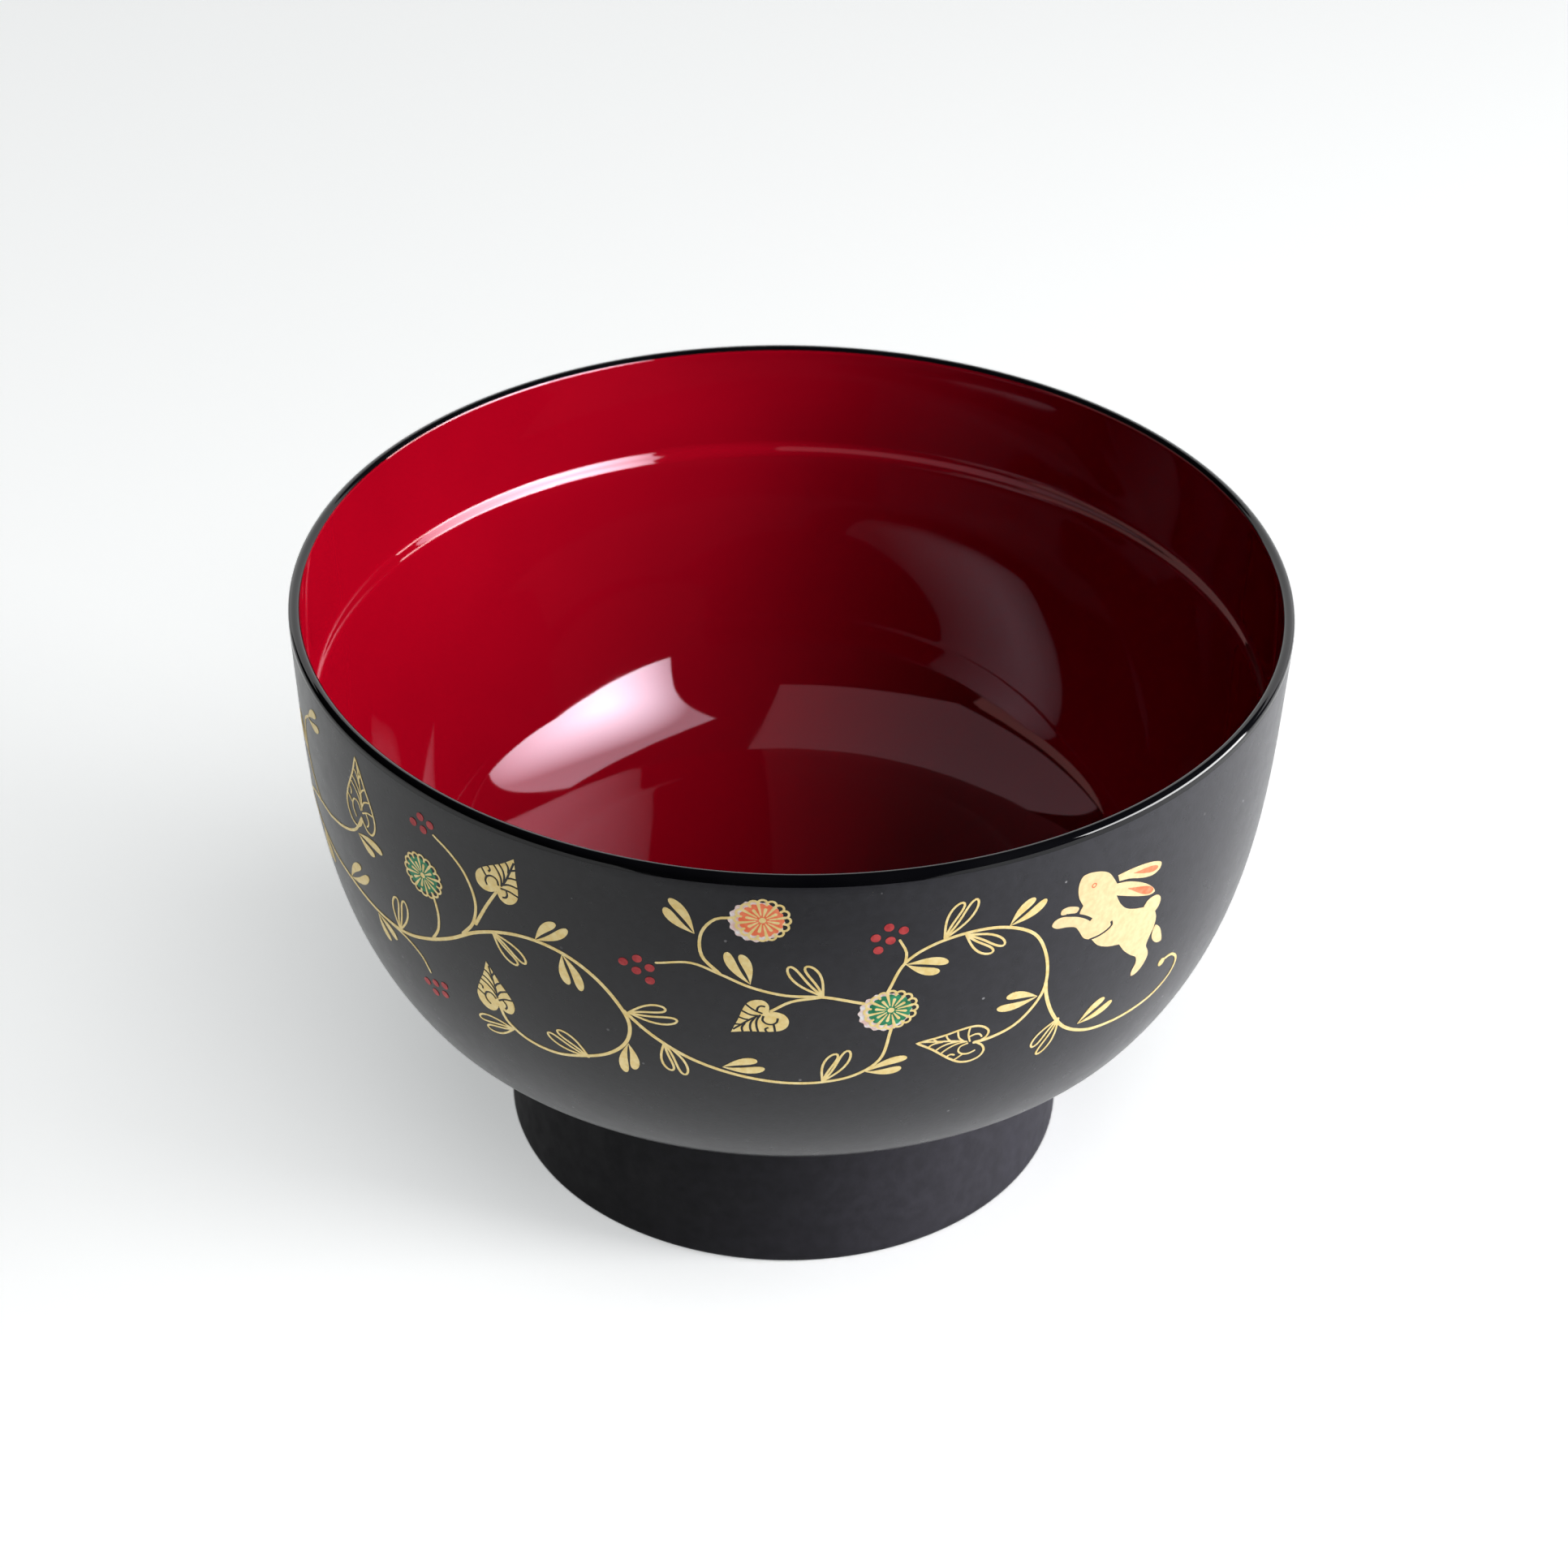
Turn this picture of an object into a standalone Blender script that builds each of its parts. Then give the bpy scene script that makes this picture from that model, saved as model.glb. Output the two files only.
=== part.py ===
"""Lacquered soup bowl: a turned body on an applied foot ring, with four coats of lacquer.

The bowl stands on the XY plane with its axis on +Z. Every piece is turned about that axis:
its outline is a list of (radius, height) points in millimetres, spun once round Z.
Outlines are built from the finished surfaces, the ones a hand would touch, and each layer
below a surface is that surface moved into the wall by a constant depth.
"""

import math

import bmesh
import bpy

MM = 0.001
SEGMENTS = 48
SMOOTH_ANGLE = math.radians(35)

# Driving dimensions of the finished bowl, in millimetres.
RIM_RADIUS = 58.0
BOWL_HEIGHT = 74.0
LIP_RADIUS = 0.7
LIP_CENTRE = (RIM_RADIUS - LIP_RADIUS, BOWL_HEIGHT - LIP_RADIUS)
FOOT_HEIGHT = 19.6
FOOT_TOP_RADIUS = 33.4
FOOT_BASE_RADIUS = 34.0

# The fullest turn of the outside, between the tall wall and the underside.
BELLY = (49.0, 29.3)
BELLY_HEADING = 34.0
WALL_HEADING = 3.7
UNDERSIDE_HEADING = 66.0

# The inside: a step below the rim, a wall that follows the outside, and a round bottom.
UPPER_WALL_HEADING = 2.3
STEP_TOP = (56.1, 60.9)
STEP_RADIUS = 1.4
STEP_HEADING = 50.0
LOWER_WALL_HEADING = 5.0
INNER_BELLY = (46.9, 30.6)
BOTTOM_HEIGHT = 22.0

# The foot ring and the recess inside it.
FOOT_EDGE_RADIUS = 0.6
FOOT_INNER_BASE_RADIUS = 30.8
FOOT_INNER_TOP_RADIUS = 29.6
RECESS_HEIGHT = 18.0
RECESS_FILLET = 1.0
TENON_RADIUS = 29.6

# Layers. A lacquer build of ground, middle and top coats is a quarter of a millimetre.
COAT = 0.25
COAT_CLEARANCE = 0.1
CORE_DEPTH = COAT + COAT_CLEARANCE
SEAT_CLEARANCE = 0.3
FOOT_JOINT_GAP = 0.15
LIP_BAND_ANGLE = 24.0


def heading_vector(degrees):
    """Direction of a path that runs down a wall, turned towards the axis by this angle."""
    angle = math.radians(degrees)
    return -math.sin(angle), -math.cos(angle)


def smooth_curve(start, start_heading, end, end_heading, pulls, steps):
    """Cubic curve from start to end, leaving and arriving at the given headings."""
    reach = math.dist(start, end)
    out_r, out_z = heading_vector(start_heading)
    in_r, in_z = heading_vector(end_heading)
    first = (start[0] + out_r * reach * pulls[0], start[1] + out_z * reach * pulls[0])
    second = (end[0] - in_r * reach * pulls[1], end[1] - in_z * reach * pulls[1])
    points = []
    for step in range(1, steps + 1):
        t = step / steps
        weights = ((1 - t) ** 3, 3 * t * (1 - t) ** 2, 3 * t * t * (1 - t), t**3)
        corners = (start, first, second, end)
        radius = sum(w * corner[0] for w, corner in zip(weights, corners))
        height = sum(w * corner[1] for w, corner in zip(weights, corners))
        points.append((radius, height))
    return points


def turning_arc(start, from_heading, to_heading, radius, steps):
    """Arc of this radius along which a path's heading turns from one angle to another."""
    side = 1 if to_heading > from_heading else -1
    first = math.radians(from_heading)
    points = []
    for step in range(1, steps + 1):
        angle = first + (math.radians(to_heading) - first) * step / steps
        across = side * radius * (math.cos(angle) - math.cos(first))
        along = side * radius * (math.sin(angle) - math.sin(first))
        points.append((start[0] + across, start[1] - along))
    return points


def circle_arc(centre, radius, from_angle, to_angle, steps):
    """Points on a circle, both ends included, with angles in degrees from outward."""
    points = []
    for step in range(steps + 1):
        angle = math.radians(from_angle + (to_angle - from_angle) * step / steps)
        points.append((centre[0] + radius * math.cos(angle), centre[1] + radius * math.sin(angle)))
    return points


def moved_sideways(path, distance):
    """The path moved to the right of its direction of travel, with mitred corners."""
    moved = []
    for index, (radius, height) in enumerate(path):
        before = path[max(index - 1, 0)]
        after = path[min(index + 1, len(path) - 1)]
        normals = []
        for start, end in ((before, (radius, height)), ((radius, height), after)):
            length = math.dist(start, end)
            if length > 0:
                normals.append(((end[1] - start[1]) / length, -(end[0] - start[0]) / length))
        across = sum(normal[0] for normal in normals)
        up = sum(normal[1] for normal in normals)
        size = math.hypot(across, up)
        across, up = across / size, up / size
        mitre = across * normals[0][0] + up * normals[0][1]
        moved.append((radius + across * distance / mitre, height + up * distance / mitre))
    return moved


def kept_on_axis(path):
    """The path with its last point put on the axis, where a turned surface is level."""
    return path[:-1] + [(0.0, path[-1][1])]


def outer_wall(start):
    """The finished outside below the lip, from this point down to the foot joint."""
    joint = (FOOT_TOP_RADIUS, FOOT_HEIGHT)
    wall = smooth_curve(start, WALL_HEADING, BELLY, BELLY_HEADING, (1 / 3, 1 / 3), 7)
    underside = smooth_curve(BELLY, BELLY_HEADING, joint, UNDERSIDE_HEADING, (0.22, 0.2), 4)
    return [start] + wall + underside


def inner_wall(start):
    """The finished inside below the lip, over the step and down to the centre."""
    upper_arc = turning_arc(STEP_TOP, UPPER_WALL_HEADING, STEP_HEADING, STEP_RADIUS, 3)
    lower_arc = turning_arc(upper_arc[-1], STEP_HEADING, LOWER_WALL_HEADING, STEP_RADIUS, 3)
    step_foot = lower_arc[-1]
    wall = smooth_curve(step_foot, LOWER_WALL_HEADING, INNER_BELLY, BELLY_HEADING, (0.33, 0.33), 5)
    floor = smooth_curve(INNER_BELLY, BELLY_HEADING, (0.0, BOTTOM_HEIGHT), 90, (0.2, 0.5), 6)
    return [start, STEP_TOP] + upper_arc + lower_arc + wall + floor


def foot_sides():
    """The finished foot from its joint: down the outside and across its rounded base."""
    edge = FOOT_EDGE_RADIUS
    top = (FOOT_TOP_RADIUS, FOOT_HEIGHT - FOOT_JOINT_GAP)
    outer_edge = circle_arc((FOOT_BASE_RADIUS - edge, edge), edge, 0, -90, 3)
    inner_edge = circle_arc((FOOT_INNER_BASE_RADIUS + edge, edge), edge, -90, -180, 3)
    return [top] + outer_edge + inner_edge


def foot_surface():
    """The finished foot: its sides, then up the inside and over the recess to the centre."""
    fillet_centre = (FOOT_INNER_TOP_RADIUS - RECESS_FILLET, RECESS_HEIGHT - RECESS_FILLET)
    fillet = circle_arc(fillet_centre, RECESS_FILLET, 0, 90, 3)
    return foot_sides() + fillet + [(0.0, RECESS_HEIGHT)]


def coat_outline(surface, into_wall):
    """Outline of a coat: its surface, and the same path a coat's thickness into the wall."""
    back = moved_sideways(surface, into_wall * COAT)
    if surface[-1][0] == 0.0:
        back = kept_on_axis(back)
        return surface[::-1] + back
    return surface + back[::-1]


def rim_lacquer_outline():
    """A cap over the lip, from the outside band line over the crown to the inside one."""
    band = (-LIP_BAND_ANGLE, 180 + LIP_BAND_ANGLE)
    surface = circle_arc(LIP_CENTRE, LIP_RADIUS, *band, 10)
    back = circle_arc(LIP_CENTRE, LIP_RADIUS - COAT, *band, 10)
    return surface + back[::-1]


def below_lip(side):
    """Where the wall coats start: just under the lip's band, on the outside or inside."""
    drop = LIP_RADIUS * math.sin(math.radians(LIP_BAND_ANGLE)) + 2 * COAT_CLEARANCE
    return LIP_CENTRE[0] + side * LIP_RADIUS, LIP_CENTRE[1] - drop


def bowl_core_outline():
    """The wood between the coats, with the flat seat and the tenon for the foot ring."""
    outside = moved_sideways(outer_wall(below_lip(1)), CORE_DEPTH)
    inside = kept_on_axis(moved_sideways(inner_wall(below_lip(-1)), -CORE_DEPTH))
    lip = circle_arc(LIP_CENTRE, LIP_RADIUS - CORE_DEPTH, 180, 0, 6)
    seat_height = outside[-1][1]
    tenon_end = RECESS_HEIGHT + CORE_DEPTH
    tenon = [(TENON_RADIUS, seat_height), (TENON_RADIUS, tenon_end), (0.0, tenon_end)]
    return inside[::-1] + lip + outside + tenon


def foot_ring_outline():
    """The ring under its coat, up to the seat, clear of the tenon that it surrounds."""
    face = moved_sideways(foot_surface(), CORE_DEPTH)
    base = face[1 : len(foot_sides())]
    seat_height = moved_sideways(outer_wall(below_lip(1)), CORE_DEPTH)[-1][1]
    ring_top = seat_height - SEAT_CLEARANCE
    inner_radius = TENON_RADIUS + SEAT_CLEARANCE + COAT_CLEARANCE
    return base + [(inner_radius, ring_top), (face[0][0], ring_top)]


def lacquer_material(name, colour, roughness, coat=0.0):
    """A Principled material: a smooth dielectric paint, with a clear coat where it is polished."""
    material = bpy.data.materials.new(name)
    material.use_nodes = True
    shader = material.node_tree.nodes["Principled BSDF"]
    shader.inputs["Base Color"].default_value = (*colour, 1.0)
    shader.inputs["Roughness"].default_value = roughness
    shader.inputs["Metallic"].default_value = 0.0
    shader.inputs["Coat Weight"].default_value = coat
    return material


def turned_piece(name, outline, material):
    """Spins the outline round Z. An outline with both ends on the axis closes itself there."""
    shape = bmesh.new()
    corners = [shape.verts.new((radius * MM, 0.0, height * MM)) for radius, height in outline]
    edges = [shape.edges.new(pair) for pair in zip(corners, corners[1:])]
    ends_on_axis = outline[0][0] == 0.0 and outline[-1][0] == 0.0
    if not ends_on_axis:
        edges.append(shape.edges.new((corners[-1], corners[0])))
    bmesh.ops.spin(
        shape,
        geom=corners + edges,
        cent=(0.0, 0.0, 0.0),
        axis=(0.0, 0.0, 1.0),
        angle=math.tau,
        steps=SEGMENTS,
        use_merge=True,
    )
    bmesh.ops.remove_doubles(shape, verts=shape.verts, dist=1e-7)
    bmesh.ops.recalc_face_normals(shape, faces=shape.faces)
    mesh = bpy.data.meshes.new(name)
    shape.to_mesh(mesh)
    shape.free()
    mesh.shade_smooth()
    mesh.set_sharp_from_angle(angle=SMOOTH_ANGLE)
    mesh.materials.append(material)
    piece = bpy.data.objects.new(name, mesh)
    bpy.context.scene.collection.objects.link(piece)
    return piece


def clear_scene():
    for thing in list(bpy.data.objects):
        bpy.data.objects.remove(thing, do_unlink=True)


def build():
    clear_scene()
    wood = lacquer_material("bowl_wood", (0.42, 0.27, 0.14), 0.6)
    foot_wood = lacquer_material("foot_wood", (0.38, 0.24, 0.12), 0.6)
    red = lacquer_material("red_gloss_lacquer", (0.40, 0.004, 0.012), 0.08, coat=1.0)
    satin_black = lacquer_material("black_satin_lacquer", (0.012, 0.012, 0.014), 0.34)
    gloss_black = lacquer_material("black_gloss_lacquer", (0.006, 0.006, 0.007), 0.06, coat=1.0)
    matte_black = lacquer_material("black_matte_lacquer", (0.014, 0.014, 0.016), 0.5)
    outside = coat_outline(outer_wall(below_lip(1)), 1)
    inside = coat_outline(inner_wall(below_lip(-1)), -1)
    foot = coat_outline(foot_surface(), 1)
    pieces = [
        turned_piece("bowl_core", bowl_core_outline(), wood),
        turned_piece("foot_ring", foot_ring_outline(), foot_wood),
        turned_piece("inner_lacquer", inside, red),
        turned_piece("outer_lacquer", outside, satin_black),
        turned_piece("rim_lacquer", rim_lacquer_outline(), gloss_black),
        turned_piece("foot_lacquer", foot, matte_black),
    ]
    centre = bpy.data.objects.new("bowl_axis", None)
    bpy.context.scene.collection.objects.link(centre)
    for piece in pieces:
        piece.parent = centre


build()
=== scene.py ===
"""Looks of the lacquered soup bowl: turned lacquer and wood pieces, and the printed vine.

Lengths are millimetres until a mesh is made. Turned pieces are outlines of (radius, height)
points spun round Z. Printed pieces are drawn flat, as (around, down) on the unrolled outside
wall: around is the distance from the front at REFERENCE_RADIUS, down is measured along the
wall from the lip. They are then wrapped onto the wall as thin raised shells.
"""

import bisect
import math

import bpy
from mathutils import Matrix, Vector
from mathutils.geometry import delaunay_2d_cdt


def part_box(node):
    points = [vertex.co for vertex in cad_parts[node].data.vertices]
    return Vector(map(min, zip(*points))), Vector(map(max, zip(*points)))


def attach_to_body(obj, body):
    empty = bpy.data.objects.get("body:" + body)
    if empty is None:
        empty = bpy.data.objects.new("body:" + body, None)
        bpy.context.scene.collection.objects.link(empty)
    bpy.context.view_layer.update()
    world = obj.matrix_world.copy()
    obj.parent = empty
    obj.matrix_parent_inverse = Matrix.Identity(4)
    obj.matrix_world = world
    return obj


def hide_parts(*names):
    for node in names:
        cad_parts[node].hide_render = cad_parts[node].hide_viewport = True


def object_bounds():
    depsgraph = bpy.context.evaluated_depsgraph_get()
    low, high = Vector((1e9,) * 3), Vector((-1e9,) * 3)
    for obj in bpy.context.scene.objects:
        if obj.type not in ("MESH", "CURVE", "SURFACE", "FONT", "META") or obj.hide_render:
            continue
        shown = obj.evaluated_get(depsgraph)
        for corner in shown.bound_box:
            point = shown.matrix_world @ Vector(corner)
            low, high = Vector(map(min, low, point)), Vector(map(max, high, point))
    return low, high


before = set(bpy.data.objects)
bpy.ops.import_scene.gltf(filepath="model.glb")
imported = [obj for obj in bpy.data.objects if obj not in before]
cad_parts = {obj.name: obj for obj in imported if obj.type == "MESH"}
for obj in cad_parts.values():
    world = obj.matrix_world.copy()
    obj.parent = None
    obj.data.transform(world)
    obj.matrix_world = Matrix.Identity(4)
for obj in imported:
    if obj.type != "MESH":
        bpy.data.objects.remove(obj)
CAD_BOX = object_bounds()

MM = 0.001

# ---- dimensions, from the frame
COAT = 0.25
COAT_CLEARANCE = 0.1
CORE_DEPTH = COAT + COAT_CLEARANCE
SEAT_CLEARANCE = 0.3
FOOT_JOINT_GAP = 0.15
RIM_RADIUS = CAD_BOX[1].x / MM
BOWL_HEIGHT = CAD_BOX[1].z / MM
FOOT_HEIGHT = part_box("outer_lacquer")[0].z / MM
FOOT_BASE_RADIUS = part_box("foot_lacquer")[1].x / MM
FOOT_TOP_RADIUS = FOOT_BASE_RADIUS - 0.6
BOTTOM_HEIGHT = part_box("inner_lacquer")[0].z / MM + COAT
TENON_RADIUS = FOOT_BASE_RADIUS - 4.4

LIP_RADIUS = 0.7
LIP_CENTRE = (RIM_RADIUS - LIP_RADIUS, BOWL_HEIGHT - LIP_RADIUS)
LIP_COAT_ANGLE = 24.0
BAND_DROP = 0.42
BAND_INNER_ANGLE = 148.0
BAND_GAP_ANGLE = 1.5
BAND_SEAM = 0.02
BELLY = (RIM_RADIUS - 9.0, FOOT_HEIGHT + 9.7)
BELLY_HEADING = 34.0
WALL_HEADING = 3.7
UNDERSIDE_HEADING = 66.0
UPPER_WALL_HEADING = 2.3
STEP_TOP = (RIM_RADIUS - 1.9, BOWL_HEIGHT - 13.1)
STEP_RADIUS = 1.4
STEP_HEADING = 50.0
LOWER_WALL_HEADING = 5.0
INNER_BELLY = (BELLY[0] - 2.1, BELLY[1] + 1.3)
FOOT_EDGE_RADIUS = 0.6
FOOT_INNER_BASE_RADIUS = FOOT_BASE_RADIUS - 3.2
FOOT_INNER_TOP_RADIUS = FOOT_INNER_BASE_RADIUS - 1.2
RECESS_HEIGHT = FOOT_HEIGHT - 1.6
RECESS_FILLET = 1.0

SEGMENTS = 256
CORE_SEGMENTS = 128
SMOOTH_ANGLE = math.radians(35)
# How far each curve of the wall holds its end headings, as shares of the distance it spans.
WALL_PULLS = (1 / 3, 1 / 3)
UNDERSIDE_PULLS = (0.22, 0.2)
INNER_WALL_PULLS = (0.33, 0.33)
BOTTOM_PULLS = (0.2, 0.5)
# Steps of the outside wall and underside, as turned and as the finer path that prints follow.
WALL_STEPS = (36, 20)
PRINTED_WALL_STEPS = (160, 60)
ARC_STEPS = 8
LIP_STEPS = 28

REFERENCE_RADIUS = 54.0
PRINT_LIFT = 0.045
PETAL_LIFT = 0.03
PEARL_LIFT = 0.015
EAR_LIFT = PRINT_LIFT + 0.02
PRINT_SINK = 0.03
VINE_SCALE = 0.82
FINE_LINE = 0.27
VEIN_LINE = 0.8 * FINE_LINE
VEIN_GAP = 0.25
STROKE_STEP = 0.7
RABBIT_STEP = 0.4
FINE_STEP = 0.3
FILL_SPACING = 0.95
SAME_PLACE = 1e-6
MERGE_DISTANCE = 1e-5


# ---- outlines of turned pieces
def heading_vector(degrees):
    """Direction of a path that runs down a wall, turned towards the axis by this angle."""
    angle = math.radians(degrees)
    return -math.sin(angle), -math.cos(angle)


def between(start, end, share):
    return start[0] + (end[0] - start[0]) * share, start[1] + (end[1] - start[1]) * share


def smooth_curve(start, start_heading, end, end_heading, pulls, steps):
    """Cubic curve from start to end, leaving and arriving at the given headings."""
    reach = math.dist(start, end)
    out_r, out_z = heading_vector(start_heading)
    in_r, in_z = heading_vector(end_heading)
    first = (start[0] + out_r * reach * pulls[0], start[1] + out_z * reach * pulls[0])
    second = (end[0] - in_r * reach * pulls[1], end[1] - in_z * reach * pulls[1])
    points = []
    for step in range(1, steps + 1):
        level = (start, first, second, end)
        while len(level) > 1:
            level = [between(one, two, step / steps) for one, two in zip(level, level[1:])]
        points.append(level[0])
    return points


def turning_arc(start, from_heading, to_heading, radius, steps):
    """Arc of this radius along which a path's heading turns from one angle to another."""
    side = 1 if to_heading > from_heading else -1
    first = math.radians(from_heading)
    points = []
    for step in range(1, steps + 1):
        angle = first + (math.radians(to_heading) - first) * step / steps
        across = side * radius * (math.cos(angle) - math.cos(first))
        along = side * radius * (math.sin(angle) - math.sin(first))
        points.append((start[0] + across, start[1] - along))
    return points


def polar_point(centre, reach, angle):
    """The point this far from the centre, at this angle in radians from outward."""
    return centre[0] + reach * math.cos(angle), centre[1] + reach * math.sin(angle)


def circle_arc(centre, radius, from_angle, to_angle, steps):
    """Points on a circle, both ends included, with angles in degrees from outward."""
    points = []
    for step in range(steps + 1):
        angle = math.radians(from_angle + (to_angle - from_angle) * step / steps)
        points.append(polar_point(centre, radius, angle))
    return points


def straight(start, end, steps):
    """Points along a straight stretch after its start, so that faces stay well shaped."""
    return [between(start, end, step / steps) for step in range(1, steps + 1)]


def moved_sideways(path, distance):
    """The path moved to the right of its direction of travel, with mitred corners."""
    moved = []
    for index, (radius, height) in enumerate(path):
        before = path[max(index - 1, 0)]
        after = path[min(index + 1, len(path) - 1)]
        normals = []
        for start, end in ((before, (radius, height)), ((radius, height), after)):
            length = math.dist(start, end)
            if length > 0:
                normals.append(((end[1] - start[1]) / length, -(end[0] - start[0]) / length))
        across = sum(normal[0] for normal in normals)
        up = sum(normal[1] for normal in normals)
        size = math.hypot(across, up)
        across, up = across / size, up / size
        mitre = across * normals[0][0] + up * normals[0][1]
        moved.append((radius + across * distance / mitre, height + up * distance / mitre))
    return moved


def kept_on_axis(path):
    return path[:-1] + [(0.0, path[-1][1])]


def below_lip(side):
    """Where the wall starts to run down, under the lip's rounding, on the outside or inside."""
    drop = LIP_RADIUS * math.sin(math.radians(LIP_COAT_ANGLE)) + 2 * COAT_CLEARANCE
    return LIP_CENTRE[0] + side * LIP_RADIUS, LIP_CENTRE[1] - drop


def outer_wall(start, steps=WALL_STEPS):
    """The finished outside below the lip, from this point down to the foot joint."""
    joint = (FOOT_TOP_RADIUS, FOOT_HEIGHT)
    wall = smooth_curve(start, WALL_HEADING, BELLY, BELLY_HEADING, WALL_PULLS, steps[0])
    underside = smooth_curve(BELLY, BELLY_HEADING, joint, UNDERSIDE_HEADING, UNDERSIDE_PULLS, steps[1])
    return [start] + wall + underside


def inner_wall(start):
    """The finished inside below the lip, over the step and down to the centre."""
    upper = straight(start, STEP_TOP, 10)
    upper_arc = turning_arc(STEP_TOP, UPPER_WALL_HEADING, STEP_HEADING, STEP_RADIUS, ARC_STEPS)
    lower_arc = turning_arc(upper_arc[-1], STEP_HEADING, LOWER_WALL_HEADING, STEP_RADIUS, ARC_STEPS)
    step_foot = lower_arc[-1]
    wall = smooth_curve(step_foot, LOWER_WALL_HEADING, INNER_BELLY, BELLY_HEADING, INNER_WALL_PULLS, 22)
    floor = smooth_curve(INNER_BELLY, BELLY_HEADING, (0.0, BOTTOM_HEIGHT), 90, BOTTOM_PULLS, 34)
    return [start] + upper + upper_arc + lower_arc + wall + floor


def outside_surface():
    """The satin coat's face, from the lip band's lower edge down to the foot joint."""
    return [(RIM_RADIUS, LIP_CENTRE[1] - BAND_DROP - BAND_SEAM)] + outer_wall(below_lip(1))


def inside_surface():
    """The red coat's face: round the lip from the band's inner edge, then down to the centre."""
    first_angle = BAND_INNER_ANGLE + BAND_GAP_ANGLE
    over_lip = circle_arc(LIP_CENTRE, LIP_RADIUS, first_angle, 180, ARC_STEPS)
    return over_lip + inner_wall(below_lip(-1))


def foot_sides():
    """The finished foot from its joint: down the outside and across its rounded base."""
    edge = FOOT_EDGE_RADIUS
    top = (FOOT_TOP_RADIUS, FOOT_HEIGHT - FOOT_JOINT_GAP)
    outer_edge = circle_arc((FOOT_BASE_RADIUS - edge, edge), edge, 0, -90, ARC_STEPS)
    inner_edge = circle_arc((FOOT_INNER_BASE_RADIUS + edge, edge), edge, -90, -180, ARC_STEPS)
    return [top] + straight(top, outer_edge[0], 12)[:-1] + outer_edge + inner_edge


def foot_surface():
    """The finished foot: its sides, then up the inside and over the recess to the centre."""
    sides = foot_sides()
    fillet_centre = (FOOT_INNER_TOP_RADIUS - RECESS_FILLET, RECESS_HEIGHT - RECESS_FILLET)
    fillet = circle_arc(fillet_centre, RECESS_FILLET, 0, 90, ARC_STEPS)
    inner_side = straight(sides[-1], fillet[0], 10)[:-1]
    return sides + inner_side + fillet + straight(fillet[-1], (0.0, RECESS_HEIGHT), 12)


def coat_outline(surface, into_wall):
    """Outline of a coat: its surface, and the same path a coat's thickness into the wall."""
    back = moved_sideways(surface, into_wall * COAT)
    if surface[-1][0] == 0.0:
        return surface[::-1] + kept_on_axis(back)
    return surface + back[::-1]


def rim_lacquer_outline():
    """A cap over the lip, from the outside band line over the crown to the inside one."""
    lower_edge = LIP_CENTRE[1] - BAND_DROP
    surface = circle_arc(LIP_CENTRE, LIP_RADIUS, 0, BAND_INNER_ANGLE, LIP_STEPS)
    back = circle_arc(LIP_CENTRE, LIP_RADIUS - COAT, 0, BAND_INNER_ANGLE, LIP_STEPS)
    skirt = [(RIM_RADIUS - COAT, lower_edge), (RIM_RADIUS, lower_edge)]
    return surface + back[::-1] + skirt


def bowl_core_outline():
    """The wood between the coats, with the flat seat and the tenon for the foot ring."""
    outer_side = moved_sideways(outer_wall(below_lip(1)), CORE_DEPTH)
    inner_side = kept_on_axis(moved_sideways(inner_wall(below_lip(-1)), -CORE_DEPTH))
    lip = circle_arc(LIP_CENTRE, LIP_RADIUS - CORE_DEPTH, 180, 0, 12)
    seat_height = outer_side[-1][1]
    tenon_end = RECESS_HEIGHT + CORE_DEPTH
    tenon = [(TENON_RADIUS, seat_height), (TENON_RADIUS, tenon_end), (0.0, tenon_end)]
    return inner_side[::-1] + lip + outer_side + tenon


def foot_ring_outline():
    """The ring under its coat, up to the seat, clear of the tenon that it surrounds."""
    face = moved_sideways(foot_surface(), CORE_DEPTH)
    base = face[1 : len(foot_sides())]
    seat_height = moved_sideways(outer_wall(below_lip(1)), CORE_DEPTH)[-1][1]
    ring_top = seat_height - SEAT_CLEARANCE
    inner_radius = TENON_RADIUS + SEAT_CLEARANCE + COAT_CLEARANCE
    return base + [(inner_radius, ring_top), (face[0][0], ring_top)]


def new_object(name, points, faces, material):
    mesh = bpy.data.meshes.new(name)
    mesh.from_pydata(points, [], faces)
    mesh.validate()
    mesh.shade_smooth()
    mesh.set_sharp_from_angle(angle=SMOOTH_ANGLE)
    mesh.materials.append(material)
    piece = bpy.data.objects.new(name, mesh)
    bpy.context.scene.collection.objects.link(piece)
    return piece


def turned_piece(name, outline, segments, material):
    """Spins the outline once round Z. An outline with both ends on the axis closes itself."""
    points = []
    rings = []
    for radius, height in outline:
        count = segments if radius > 0 else 1
        ring = []
        for index in range(count):
            angle = math.tau * index / segments
            ring.append(len(points))
            points.append((radius * math.cos(angle) * MM, radius * math.sin(angle) * MM, height * MM))
        rings.append(ring)
    pairs = list(zip(rings, rings[1:]))
    if outline[0][0] > 0:
        pairs.append((rings[-1], rings[0]))
    faces = []
    for upper, lower in pairs:
        for index in range(segments):
            after = (index + 1) % segments
            corners = [upper[index % len(upper)], upper[after % len(upper)]]
            corners += [lower[after % len(lower)], lower[index % len(lower)]]
            faces.append(list(dict.fromkeys(corners)))
    piece = new_object(name, points, faces, material)
    facing_out(piece)
    return piece


def facing_out(piece):
    """Turns the faces of a closed mesh outwards, judged by the sign of its volume."""
    volume = 0.0
    mesh = piece.data
    for face in mesh.polygons:
        corners = [mesh.vertices[index].co for index in face.vertices]
        for second, third in zip(corners[1:], corners[2:]):
            volume += corners[0].dot(second.cross(third))
    if volume < 0:
        mesh.flip_normals()


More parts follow.
